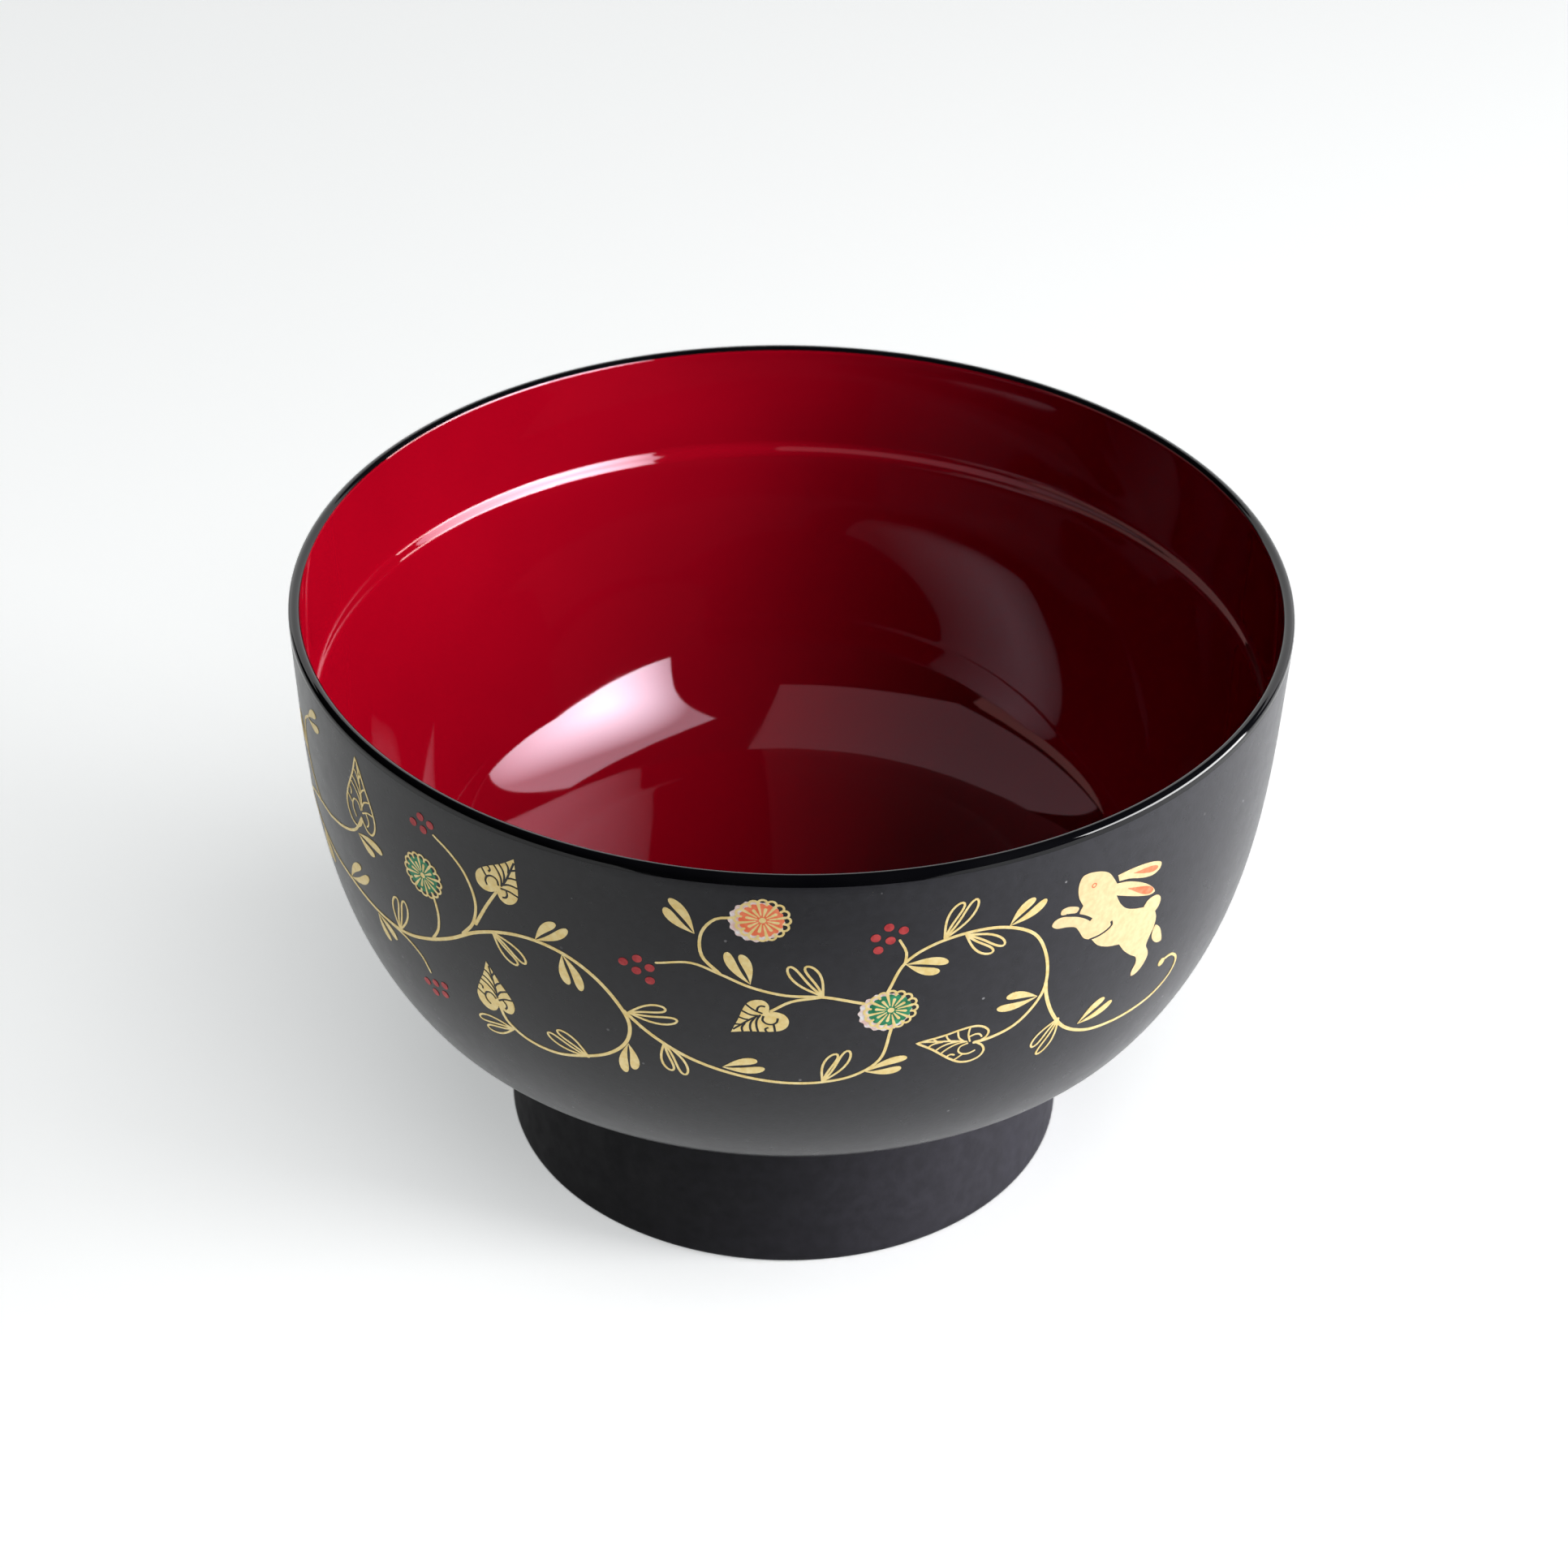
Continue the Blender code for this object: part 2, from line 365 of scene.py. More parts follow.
# ---- the wall that prints lie on
class Wall:
    """The outside surface, looked up by distance round the bowl and distance down the wall."""

    def __init__(self):
        self.path = [(RIM_RADIUS, LIP_CENTRE[1])] + outer_wall(below_lip(1), PRINTED_WALL_STEPS)
        self.lengths = [0.0]
        for start, end in zip(self.path, self.path[1:]):
            self.lengths.append(self.lengths[-1] + math.dist(start, end))

    def point(self, around, down, lift):
        """The place in metres, lift mm above the surface."""
        index = bisect.bisect_right(self.lengths, down) - 1
        index = min(max(index, 0), len(self.path) - 2)
        start, end = self.path[index], self.path[index + 1]
        span = self.lengths[index + 1] - self.lengths[index]
        radius, height = between(start, end, (down - self.lengths[index]) / span)
        radius -= (end[1] - start[1]) / span * lift
        height += (end[0] - start[0]) / span * lift
        angle = around / REFERENCE_RADIUS
        return (radius * math.sin(angle) * MM, -radius * math.cos(angle) * MM, height * MM)


WALL = Wall()


# ---- flat drawing tools
def smooth_path(points, step=STROKE_STEP, closed=False):
    """Evenly stepped points on the smooth curve through these points."""
    if closed:
        ring = [points[-1]] + list(points) + [points[0], points[1]]
    else:
        first = between(points[1], points[0], 2)
        last = between(points[-2], points[-1], 2)
        ring = [first] + list(points) + [last]
    curve = []
    for before, start, end, after in zip(ring, ring[1:], ring[2:], ring[3:]):
        count = max(2, math.ceil(math.dist(start, end) / step))
        # Knots spaced by the square root of distance keep the curve free of loops.
        knots = [0.0]
        for one, two in ((before, start), (start, end), (end, after)):
            knots.append(knots[-1] + max(math.dist(one, two), SAME_PLACE) ** 0.5)
        for index in range(count):
            t = knots[1] + (knots[2] - knots[1]) * index / count
            curve.append(spline_point((before, start, end, after), knots, t))
    if not closed:
        curve.append(tuple(points[-1]))
    return curve


def spline_point(corners, knots, t):
    """Point of a centripetal Catmull-Rom curve by repeated mixing of its four corners."""
    level = corners
    for low, high in ((0, 1), (0, 2), (1, 2)):
        mixed = []
        for index, (one, two) in enumerate(zip(level, level[1:])):
            share = (t - knots[index + low]) / (knots[index + high] - knots[index + low])
            mixed.append(between(one, two, share))
        level = mixed
    return level[0]


def joined_runs(runs, step):
    """A closed outline from smooth runs that meet at corners."""
    outline = []
    for run, following in zip(runs, runs[1:] + runs[:1]):
        outline += smooth_path(run, step)[:-1]
        if math.dist(run[-1], following[0]) > SAME_PLACE:
            outline.append(tuple(run[-1]))
    return outline


def circle(centre, radius, steps=20):
    return circle_arc(centre, radius, 0, 360, steps)[:-1]


def inside(point, outline):
    """Whether the point lies inside the closed outline."""
    found = False
    for (x0, y0), (x1, y1) in zip(outline, outline[1:] + outline[:1]):
        if (y0 > point[1]) != (y1 > point[1]):
            if point[0] < x0 + (point[1] - y0) * (x1 - x0) / (y1 - y0):
                found = not found
    return found


def signed_area(outline):
    total = 0.0
    for (x0, y0), (x1, y1) in zip(outline, outline[1:] + outline[:1]):
        total += x0 * y1 - x1 * y0
    return total / 2


class Print:
    """Flat shapes in one ink. Shapes add together, and cuts are left bare."""

    def __init__(self):
        self.points = []
        self.faces = []
        self.cuts = set()

    def add_face(self, corners, cut):
        if cut:
            self.cuts.add(len(self.faces))
        self.faces.append(corners)

    def shape(self, outline):
        """A filled outline, with points inside it so that it follows the round wall."""
        if signed_area(outline) < 0:
            outline = outline[::-1]
        first = len(self.points)
        self.points += outline
        self.add_face(list(range(first, first + len(outline))), False)
        self.fill(outline)

    def outlined(self, outline, filled):
        """The outline, filled in or as a fine line."""
        if filled:
            self.shape(outline)
        else:
            self.stroke(outline + outline[:1], FINE_LINE)

    def fill(self, outline):
        lows = [min(point[axis] for point in outline) for axis in (0, 1)]
        highs = [max(point[axis] for point in outline) for axis in (0, 1)]
        rows = int((highs[1] - lows[1]) / FILL_SPACING)
        columns = int((highs[0] - lows[0]) / FILL_SPACING)
        for row in range(1, rows + 1):
            for column in range(columns + 1):
                across = lows[0] + (column + 0.5 * (row % 2)) * FILL_SPACING
                point = (across, lows[1] + row * FILL_SPACING)
                nearest = min(math.dist(point, corner) for corner in outline)
                if nearest > FILL_SPACING / 2 and inside(point, outline):
                    self.points.append(point)

    def stroke(self, path, width, end_width=None, cut=False):
        """A line of this width along the path, with round ends, narrowing evenly if asked."""
        end_width = width if end_width is None else end_width
        first = len(self.points)
        for index, point in enumerate(path):
            before = path[max(index - 1, 0)]
            after = path[min(index + 1, len(path) - 1)]
            length = math.dist(before, after)
            across = ((after[1] - before[1]) / length, -(after[0] - before[0]) / length)
            half = (width + (end_width - width) * index / (len(path) - 1)) / 2
            for side in (half, -half):
                self.points.append((point[0] + across[0] * side, point[1] + across[1] * side))
        for index in range(len(path) - 1):
            base = first + 2 * index
            quad = [base, base + 2, base + 3, base + 1]
            if signed_area([self.points[corner] for corner in quad]) < 0:
                quad.reverse()
            self.add_face(quad, cut)
        if not cut:
            for centre, size in ((path[0], width), (path[-1], end_width)):
                self.shape(circle(centre, size / 2, 10))

    def shell(self):
        """Points and triangles of the flat union, from one Delaunay triangulation."""
        coordinates = [Vector(point) for point in self.points]
        union = delaunay_2d_cdt(coordinates, [], self.faces, 0, MERGE_DISTANCE)
        points, _, triangles, _, _, owners = union
        pairs = zip(triangles, owners)
        return points, [triangle for triangle, owner in pairs if owner and self.cuts.isdisjoint(owner)]

    def piece(self, name, material, lift, turn):
        """The ink as a closed thin shell on the wall, turned this far round the bowl."""
        flat, triangles = self.shell()
        used = sorted({corner for triangle in triangles for corner in triangle})
        index_of = {corner: index for index, corner in enumerate(used)}
        shift = turn * REFERENCE_RADIUS
        points = []
        for height in (lift, -PRINT_SINK):
            for corner in used:
                around, down = flat[corner]
                points.append(WALL.point(around + shift, down, height))
        under = len(used)
        faces = []
        edges = {}
        for triangle in triangles:
            a, b, c = (index_of[corner] for corner in triangle)
            faces.append((a, c, b))
            faces.append((a + under, b + under, c + under))
            for edge in ((a, b), (b, c), (c, a)):
                edges[edge] = edges.get(edge, 0) + 1
        for a, b in edges:
            if (b, a) not in edges:
                faces.append((a, b, b + under, a + under))
        return new_object(name, points, faces, material)


# ---- the drawing
def laid_along(points, base, tip):
    """Points drawn upright, as (across, up), turned and moved to run from base towards tip."""
    length = math.dist(base, tip)
    along = ((tip[0] - base[0]) / length, (tip[1] - base[1]) / length)
    moved = []
    for x, y in points:
        moved.append((base[0] + along[1] * x + along[0] * y, base[1] - along[0] * x + along[1] * y))
    return moved


def placed(points, base, tip, width):
    """Points of the upright heart leaf, scaled so that the leaf runs from base to tip."""
    scale = math.dist(base, tip) / HEART_LENGTH
    return laid_along([(x * width, y * scale) for x, y in points], base, tip)


# Heart leaf, drawn upright: its base at the origin, its tip on +Y, the larger lobe on +X.
HEART_LENGTH = 5.5
HEART_OUTLINE = (
    [(0.1, -0.35), (0.6, -1.05), (1.4, -1.45), (2.3, -1.25), (2.9, -0.45), (2.95, 0.5), (2.4, 1.65)]
    + [(1.75, 2.6), (0.9, 3.8), (0, 5.5)],
    [(0, 5.5), (-0.5, 4.5), (-1.1, 3.2), (-1.9, 1.75), (-2.3, 0.5), (-2.1, -0.45), (-1.45, -1.1)]
    + [(-0.65, -1.05), (0.1, -0.35)],
)
HEART_MIDRIB = [(-0.1, 0.7), (-0.27, 1.9), (-0.25, 3.7), (-0.2, 5)]
HEART_VEINS = (
    [(-0.2, 3.1), (0.15, 3.95), (0.8, 4.4)],
    [(-0.2, 1.5), (0.1, 2.45), (0.6, 3.1), (1.4, 3.6)],
    [(-0.13, 0.8), (0.2, 1.65), (0.85, 2.35), (1.8, 2.95)],
    [(1.8, 1.4), (1.72, 1.8), (2.05, 2.05), (2.4, 2)],
    [(2.8, 1.35), (2.15, 0.85), (1.78, 0.6)],
    [(-0.25, 3.65), (-0.75, 4.25)],
    [(-0.2, 2.25), (-0.7, 2.75), (-1.4, 3.1)],
    [(-0.2, 1.05), (-0.75, 1.65), (-2, 2.1)],
    [(-0.15, 0.4), (-1.15, 0.83), (-2.4, 0.95)],
)
HEART_SPIRALS = (
    [(0.15, 0.55), (0.6, 1.15), (1.25, 1.15), (1.7, 0.65), (1.7, 0), (1.3, -0.5)],
    [(-0.8, 0.65), (-1.13, 0.15), (-1.1, -0.3), (-0.75, -0.6)],
)


def heart_leaf(ink, base, tip, width, filled):
    """A filled leaf with bare veins, or an open one drawn in lines."""
    outline = joined_runs([placed(run, base, tip, width) for run in HEART_OUTLINE], FINE_STEP)
    ink.outlined(outline, filled)
    for line in (HEART_MIDRIB, *HEART_VEINS, *HEART_SPIRALS):
        path = smooth_path(placed(line, base, tip, width), FINE_STEP)
        within = [point for point in path if inside(point, outline)]
        if filled:
            ink.stroke(path, VEIN_GAP, cut=True)
        elif len(within) > 1:
            ink.stroke(within, VEIN_LINE)


# A lobe's steps, the share of its width that its base keeps, and its fullness.
LOBE_STEPS = 26
LOBE_BASE = 0.1
LOBE_FULLNESS = 0.62


def drop_outline(base, tip, width, bow):
    """A petal-shaped lobe: pointed at the base, round at the tip, bowed to one side."""
    length = math.dist(base, tip)
    outline = []
    for index in range(LOBE_STEPS):
        angle = math.tau * index / LOBE_STEPS
        share = (1 - math.cos(angle)) / 2
        side = math.sin(angle) * (LOBE_BASE + (1 - LOBE_BASE) * share) * LOBE_FULLNESS * width
        side += bow * math.sin(math.pi * share) * length
        outline.append((side, share * length))
    return laid_along(outline, base, tip)


LOBE_WIDTH = 1.3
LOBE_BOW = 0.07


def twin_leaf(ink, base, first_tip, second_tip, filled):
    """Two lobes from one base. The first lobe bows one way and the second the other."""
    turn = (first_tip[0] - base[0]) * (second_tip[1] - base[1])
    turn -= (first_tip[1] - base[1]) * (second_tip[0] - base[0])
    bow = LOBE_BOW if turn > 0 else -LOBE_BOW
    for tip, side in ((first_tip, bow), (second_tip, -bow)):
        ink.outlined(drop_outline(base, tip, LOBE_WIDTH, side), filled)


BLOSSOM_RADIUS = 2.78
SCALLOPS = 16
# Each scallop's size against its share of the ring, the angle it sweeps each side, its line.
SCALLOP_SIZE = 0.86
SCALLOP_OVERLAP = 1.02
SCALLOP_SWEEP = 115
SCALLOP_LINE = 0.26
# Where spokes start, the shares of the radius that they reach in turn, and their end widths.
SPOKE_START = 0.2
SPOKE_REACHES = (0.56, 0.8)
SPOKE_WIDTHS = (0.12, 0.36)
BOSS_RADIUS = 0.36
# The coloured disc of a blossom and the pearly one below it, as radius and shift.
PETAL = (2.3, (-0.1, 0))
PEARL = (2.85, (-0.6, 0.2))
PETAL_WAVE = 0.04


def blossom_lines(ink, centre):
    """Gold lines of a blossom: a ring of round-ended petals, long and short spokes, a boss."""
    petal_angle = 360 / SCALLOPS
    scallop = BLOSSOM_RADIUS * math.sin(math.radians(petal_angle / 2)) * SCALLOP_SIZE
    for index in range(SCALLOPS):
        facing = index * petal_angle
        middle = polar_point(centre, BLOSSOM_RADIUS - scallop, math.radians(facing))
        ends = (facing - SCALLOP_SWEEP, facing + SCALLOP_SWEEP)
        ink.stroke(circle_arc(middle, scallop * SCALLOP_OVERLAP, *ends, 9), SCALLOP_LINE)
        spoke_angle = math.radians(facing + petal_angle / 2)
        start = polar_point(centre, SPOKE_START, spoke_angle)
        end = polar_point(centre, BLOSSOM_RADIUS * SPOKE_REACHES[index % 2], spoke_angle)
        ink.stroke(straight(start, end, 4), *SPOKE_WIDTHS)
    ink.shape(circle(centre, BOSS_RADIUS))


# Vines, as the points that their curves pass through, and the width at each end.
VINES = (
    (
        [(-57.5, 22.6), (-51, 23.2), (-46, 22.8), (-42, 21.2), (-38, 18.8), (-34, 15.8), (-30, 14)]
        + [(-26.5, 13.5), (-23, 14.2), (-20, 16.1), (-17.6, 19), (-16.3, 22), (-16.8, 25), (-19, 27.6)]
        + [(-22.5, 29.4), (-26, 30.3), (-29.5, 29.6), (-31.6, 27.8), (-32.2, 25.8)],
        (0.55, 0.5),
    ),
    ([(-36, 17), (-34.4, 14.7), (-33.8, 11.5), (-35, 8), (-37, 6.05), (-39, 4.95)], (0.5, 0.34)),
    ([(-34, 14.6), (-32.3, 11.2), (-30.9, 8.7)], (0.5, 0.42)),
    ([(-40, 13.6), (-39.5, 16), (-39.8, 18.5), (-41, 20.6)], (0.4, 0.42)),
    ([(-50, 23.2), (-46, 23.6), (-43.6, 25), (-42.7, 26.8)], (0.45, 0.34)),
    ([(-61, 16), (-57, 14.8), (-53.8, 13), (-51.9, 10.2)], (0.45, 0.42)),
    (
        [(-16.8, 20.2), (-14, 23), (-10, 25.8), (-5, 27.8), (0, 28.8), (4, 28.75), (7.5, 27.8)]
        + [(10, 25.6), (11, 21)],
        (0.5, 0.42),
    ),
    (
        [(10.4, 15.4), (12, 11.6), (14.5, 9.7), (18.5, 8.7), (22.5, 9.1), (26, 11.2), (27.7, 14.8)]
        + [(28.1, 19), (27.4, 21.3), (25, 24.1), (22, 25.2), (20.4, 25.3)],
        (0.42, 0.5),
    ),
    (
        [(28.1, 19), (28.4, 21), (29.6, 24.3), (31.7, 27.5), (35, 29.75), (38.5, 30.7), (43, 31)]
        + [(46.3, 30.5), (48.6, 28.9), (49, 26.8), (47.6, 25.2), (45.9, 25.1)],
        (0.55, 0.4),
    ),
    ([(12, 11.7), (12.1, 10.1), (11.35, 8.3)], (0.4, 0.34)),
    (
        [(8, 16.8), (4, 15.6), (0, 15.3), (-3.5, 14.3), (-6.5, 12.8), (-9.5, 11.6), (-13.1, 12.3)],
        (0.45, 0.34),
    ),
    ([(-6.6, 12.7), (-8.4, 10.4), (-8.4, 7.2), (-7, 5.2), (-5.2, 4.8)], (0.45, 0.4)),
    ([(3.5, 15.6), (0.6, 16.2), (-1.4, 17.6)], (0.42, 0.42)),
    # Round on the left side, the two stems meet and end in a curl.
    ([(-61, 16), (-65, 16.6), (-69, 17.9), (-73, 20.4)], (0.45, 0.45)),
    (
        [(-57.5, 22.6), (-62, 22.3), (-67, 21.3), (-73, 20.4), (-78, 20.9), (-81.5, 23.4)]
        + [(-81.8, 27), (-79, 29.2), (-76, 28.2), (-75.4, 25.9)],
        (0.55, 0.4),
    ),
    ([(-65, 16.6), (-67.9, 14), (-69, 10.6), (-68, 7.4), (-65.8, 5.4)], (0.45, 0.4)),
)

# Twin leaves as base, first tip and second tip.
FILLED_TWINS = (
    ((-26.5, 13.4), (-24, 10.1), (-22.6, 10.5)),
    ((-23.4, 14.2), (-22.9, 18.4), (-21.4, 18.8)),
    ((-9.1, 7.5), (-11.6, 3.1), (-12.2, 4.5)),
    ((-3.5, 13.9), (-6, 9.6), (-4.5, 9.8)),
    ((-16.6, 25.2), (-17.3, 30.2), (-16.2, 29.4)),
    ((-6.5, 26.7), (-2.8, 25.3), (-2, 26.6)),
    ((8.6, 27.4), (13, 25.7), (12.5, 27.4)),
    ((12.1, 11.8), (16.6, 12.3), (15.7, 13.5)),
    ((23, 9.1), (25.7, 6.1), (27.1, 6.8)),
    ((27.3, 20.7), (22.5, 20.9), (23.5, 19.4)),
    ((33.6, 28), (36.9, 25.5), (38.3, 26.8)),
    ((-53.2, 13.1), (-48.3, 13), (-50, 14.4)),
    ((-57.5, 22.3), (-54, 18.4), (-52.3, 18.9)),
    ((-51.6, 23.6), (-48.3, 25.5), (-50, 26.8)),
    ((-65.8, 5.6), (-62.2, 3), (-61.7, 4.7)),
    ((-66.5, 21.2), (-64.3, 25.2), (-65.9, 25.7)),
)
OPEN_TWINS = (
    ((-31.8, 14.7), (-27.9, 17.4), (-29, 18.1)),
    ((-16.3, 20.3), (-12.3, 18.8), (-11.1, 20.3)),
    ((-12.6, 24), (-12, 28.3), (-10.5, 28.7)),
    ((3.8, 15.4), (0.3, 11.3), (2.1, 11.2)),
    ((-21.5, 29.2), (-26.2, 27.2), (-24.9, 26.2)),
    ((-30.9, 29), (-35.7, 29.5), (-34.8, 30.8)),
    ((4.1, 28.6), (5.4, 24.2), (6.7, 23.8)),
    ((16, 8.9), (17.7, 4.4), (19.2, 4.3)),
    ((18.3, 9), (21.3, 12.2), (22.6, 11.5)),
    ((30.6, 25.6), (27.8, 29), (28.8, 30.7)),
    ((-47, 23), (-46.7, 18.1), (-45.2, 17.8)),
    ((-68.8, 12), (-73, 10.6), (-72.6, 9.2)),
    ((-77, 20.6), (-78.3, 16.6), (-76.7, 16.3)),
)
# Heart leaves as base, tip, width, and whether they are filled.
HEART_LEAVES = (
    ((-51.7, 9.9), (-51.9, 1.9), 1.1, False),
    ((-30.6, 8.2), (-28.4, 3.1), 1, True),
    ((-32.3, 25.5), (-33.2, 19.6), 0.96, True),
    ((-1.9, 17.9), (-5.5, 21), 1, True),
    ((20.3, 25.2), (13.9, 23.75), 1.05, False),
)

CORAL_BLOSSOMS = ((-2.35, 4.95),)
GREEN_BLOSSOMS = ((10.85, 18.1), (-41.3, 11.7))
PEARLY_BLOSSOMS = (*CORAL_BLOSSOMS, GREEN_BLOSSOMS[0])

BERRIES = (
    [(10.2, 6.4), (11.7, 7), (8.9, 7.7), (10.4, 8.2), (9.2, 9.4)],
    [(-15.1, 12.2), (-16.6, 13), (-13.8, 13.2), (-15.2, 13.9), (-13.8, 15)],
    [(-40.8, 3.4), (-39.4, 3.8), (-42, 4.7), (-40.5, 5)],
    [(-43.9, 29), (-42.3, 28.3), (-40.7, 27.7), (-41, 29.3), (-42.8, 30.1)],
)
BERRY_RADIUS = 0.52
VINE_KNOBS = ((45.8, 25.3), (-75.4, 25.8))
KNOB_RADIUS = 0.55

# The leaping rabbit. Its body and ear are smooth runs that meet at corners.
RABBIT_BODY = (
    [(31.7, 9.6), (31.05, 8.2), (30.85, 6.9), (31, 5.9), (31.3, 5.4), (32.1, 5.3), (33.6, 5.7)]
    + [(34.7, 6.4), (35.4, 7.4), (36, 8.5)],
    [(36, 8.5), (37.3, 8.85), (38.8, 9.6), (40.4, 10.7), (41.6, 11.9), (41.95, 12.6), (41.3, 12.7)]
    + [(40, 12.2), (38.2, 11.3), (36.1, 10.15)],
    [(36.1, 10.15), (36.8, 11.6), (37.8, 12.8), (39.2, 13.6), (40.5, 14.1)],
    [(40.5, 14.1), (40.9, 13.5), (41.7, 13.25), (42.6, 13.45), (43.15, 14.2), (43, 15.2)]
    + [(42.5, 15.7)],
    [(42.5, 15.7), (42.85, 16.7), (42.75, 18.1), (42.3, 19.2), (42, 20.4), (42.4, 21.3)]
    + [(42.65, 22.2), (42.2, 23.4), (41.3, 24.2), (40.5, 24.2), (40.4, 23.4), (40.8, 22.4)]
    + [(40.6, 21.4), (39.6, 20.5), (38.4, 19.2), (37.5, 17.8)],
    [(37.5, 17.8), (35.8, 17.25), (34.3, 16.3), (33.4, 15.1)],
    [(33.4, 15.1), (32.3, 14.4), (31.6, 13.2), (31, 12.3), (29.9, 11.8), (28.6, 11.5)]
    + [(28, 10.9), (28.3, 10.35), (29, 10.15), (30.2, 10.45), (31.4, 10.9)],
    [(31.4, 10.9), (31.35, 10.4), (31.7, 9.6)],
)
RABBIT_ARM_LINE = [(29.6, 10.05), (31.2, 10.72), (32.3, 11.45), (33, 12.1)]
RABBIT_BELLY_LINE = [(33, 14.95), (34.3, 14.95), (35.4, 14.65), (35.95, 14.2), (35.8, 13.6)]
RABBIT_EAR = (
    [(36, 7.35), (37.6, 7.35), (39.6, 7.6), (41.3, 8.1), (42.4, 8.8), (42.3, 9.5), (41.5, 9.9)]
    + [(40.4, 9.75), (39, 9.2), (37.7, 8.6), (36.25, 8.25)],
    [(36.25, 8.25), (36, 7.35)],
)
RABBIT_FAR_PAW = [(29, 9.75), (29.05, 9.15), (29.8, 9), (30.7, 9.3), (31.2, 9.65), (30.95, 10.2)]
RABBIT_FAR_PAW += [(30.1, 10)]
RABBIT_FAR_FOOT = [(43, 18.05), (43.7, 18.6), (44.3, 19.8), (44.6, 21.2), (43.9, 21.1)]
RABBIT_FAR_FOOT += [(43, 20.2), (42.65, 19.2)]
RABBIT_ARM_GAP = 0.4
RABBIT_BELLY_GAP = 0.3
RABBIT_EYE = (32.85, 7.25)
EYE_RADIUS = 0.26
EYE_LINE = 0.13
EAR_LININGS = (((38.2, 8.1), (41.9, 9.2), 1), ((37.6, 9.9), (41.6, 12.3), 1.2))


def draw_gold():
    """Stems, leaves and the gold lines of the blossoms, as one ink."""
    ink = Print()
    for points, (start, end) in VINES:
        ink.stroke(smooth_path(points), start * VINE_SCALE, end * VINE_SCALE)
    for filled, leaves in ((True, FILLED_TWINS), (False, OPEN_TWINS)):
        for leaf in leaves:
            twin_leaf(ink, *leaf, filled)
    for leaf in HEART_LEAVES:
        heart_leaf(ink, *leaf)
    for centre in CORAL_BLOSSOMS + GREEN_BLOSSOMS:
        blossom_lines(ink, centre)
    for knob in VINE_KNOBS:
        ink.shape(circle(knob, KNOB_RADIUS))
    return ink


def draw_petals(centres, radius, shift):
    """The colour under the gold lines, printed off centre as wavy-edged discs."""
    ink = Print()
    steps = SCALLOPS * 5
    for centre in centres:
        middle = (centre[0] + shift[0], centre[1] + shift[1])
        outline = []
        for index in range(steps):
            angle = math.tau * index / steps
            reach = radius * (1 - PETAL_WAVE + PETAL_WAVE * math.cos(SCALLOPS * angle))
            outline.append(polar_point(middle, reach, angle))
        ink.shape(outline)
    return ink


def draw_berries():
    ink = Print()
    for bunch in BERRIES:
        for berry in bunch:
            ink.shape(circle(berry, BERRY_RADIUS))
    return ink


def draw_rabbit():
    ink = Print()
    for runs in (RABBIT_BODY, RABBIT_EAR):
        ink.shape(joined_runs(runs, RABBIT_STEP))
    for points in (RABBIT_FAR_PAW, RABBIT_FAR_FOOT):
        ink.shape(smooth_path(points, FINE_STEP, closed=True))
    for line, gap in ((RABBIT_ARM_LINE, RABBIT_ARM_GAP), (RABBIT_BELLY_LINE, RABBIT_BELLY_GAP)):
        ink.stroke(smooth_path(line, RABBIT_STEP), gap, cut=True)
    return ink


def draw_rabbit_details():
    """Ear linings and the eye's ring, printed over the rabbit."""
    ink = Print()
    for base, tip, width in EAR_LININGS:
        ink.shape(drop_outline(base, tip, width, 0.0))
    eye = circle(RABBIT_EYE, EYE_RADIUS, 14)
    ink.stroke(eye + eye[:1], EYE_LINE)
    return ink


# ---- materials
def set_inputs(tree, node, inputs):
    """Sets inputs, by name or number, to a value, an opaque colour or another node's output."""
    for key, value in inputs.items():
        socket = node.inputs[key]
        if isinstance(value, bpy.types.NodeSocket):
            tree.links.new(value, socket)
        elif socket.type == "RGBA":
            socket.default_value = (*value, 1.0)
        else:
            socket.default_value = value


def new_node(tree, kind, inputs, output=0, **settings):
    """Adds a shader node with these inputs and settings, and returns one of its outputs."""
    node = tree.nodes.new("ShaderNode" + kind)
    for setting, value in settings.items():
        setattr(node, setting, value)
    set_inputs(tree, node, inputs)
    return node.outputs[output]


def new_material(name):
    """A Principled material, its node tree and its shader."""
    material = bpy.data.materials.new(name)
    material.use_nodes = True
    tree = material.node_tree
    return material, tree, tree.nodes["Principled BSDF"]


def object_place(tree):
    return new_node(tree, "TexCoord", {}, "Object")


def noise(tree, scale, detail, stretch=(1, 1, 1)):
    """Noise over the object, its scale in cycles per metre, stretched along an axis if asked."""
    place = new_node(tree, "Mapping", {"Vector": object_place(tree), "Scale": stretch})
    return new_node(tree, "TexNoise", {"Vector": place, "Scale": scale, "Detail": detail}, "Fac")


def remapped(tree, value, from_range, to_range=(0, 1)):
    limits = zip(("From Min", "From Max", "To Min", "To Max"), (*from_range, *to_range))
    return new_node(tree, "MapRange", {"Value": value, **dict(limits)})


def mixed_colour(tree, share, first, second):
    """A colour that goes from the first to the second as share goes from 0 to 1."""
    return new_node(tree, "Mix", {"Factor": share, 6: first, 7: second}, 2, data_type="RGBA")


def relief(tree, height, depth):
    """The bump of a height from 0 to 1 that stands this many metres proud."""
    return new_node(tree, "Bump", {"Height": height, "Distance": depth})


# The span of a noise's values that is put to use: most of it, or a narrower middle.
MOST = (0.3, 0.7)
MIDDLE = (0.35, 0.65)


